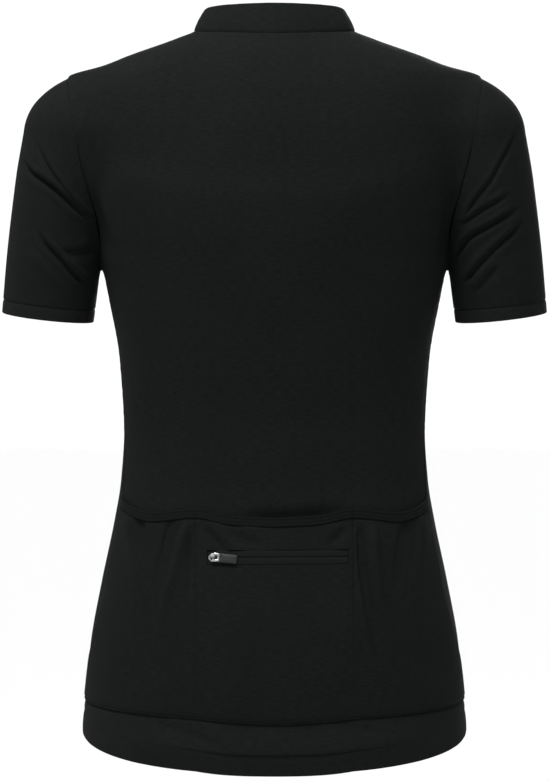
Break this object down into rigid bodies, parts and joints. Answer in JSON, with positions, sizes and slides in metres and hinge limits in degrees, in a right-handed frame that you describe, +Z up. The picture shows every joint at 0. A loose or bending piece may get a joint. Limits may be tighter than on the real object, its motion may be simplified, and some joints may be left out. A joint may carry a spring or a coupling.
{
  "type": "cycling jersey",
  "caption": "Short-sleeved cycling jersey in a woman's cut, filled out as worn, with a stand collar, front zip, back pockets and a dropped hem.",
  "frame": {"origin": "middle of the neck opening, level with the inner ends of the shoulder seams, where the wearer's neck and shoulders hold the garment", "axes": "+Z up along the body, +Y towards the back with its pockets, -Y towards the front with its long zip, +X towards the wearer's left sleeve"},
  "size_m": [0.5022, 0.2403, 0.6963],
  "materials": {
    "jersey_knit": "black polyester knit with a soft sheen",
    "pocket_knit": "black polyester knit with a soft sheen",
    "trim_knit": "doubled black knit, matte",
    "binding": "folded elastic, matte",
    "zip_tape": "woven black tape with a nylon coil",
    "slider_metal": "satin grey metal",
    "pull_metal": "gunmetal, satin"
  },
  "bodies": {
    "jersey": {"back": "jersey_knit", "hem_back": "trim_knit", "front_left": "jersey_knit", "front_right": "jersey_knit", "hem_front_left": "trim_knit", "hem_front_right": "trim_knit", "sleeve_left": "jersey_knit", "sleeve_right": "jersey_knit", "cuff_left": "trim_knit", "cuff_right": "trim_knit", "collar": "trim_knit", "pocket_left": "pocket_knit", "pocket_middle": "pocket_knit", "pocket_right": "pocket_knit", "pocket_binding_left": "binding", "pocket_binding_middle": "binding", "pocket_binding_right": "binding", "pocket_zip_tape": "zip_tape", "pocket_zip_slider": "slider_metal", "front_zip_tape": "zip_tape", "front_zip_slider": "slider_metal"},
    "pocket_pull": {"pocket_zip_pull": "pull_metal"},
    "front_pull": {"front_zip_pull": "pull_metal"}
  },
  "joints": [
    {"name": "pocket_pull_swing", "type": "hinge", "parent": "jersey", "child": "pocket_pull", "pos_m": [0.05479, 0.0956, -0.47803], "axis": [0.1312, 0.2562, -0.9577], "range_deg": [0, 165]},
    {"name": "front_pull_swing", "type": "hinge", "parent": "jersey", "child": "front_pull", "pos_m": [0, -0.066, -0.03521], "axis": [-1, 0, 0], "range_deg": [0, 165]}
  ]
}
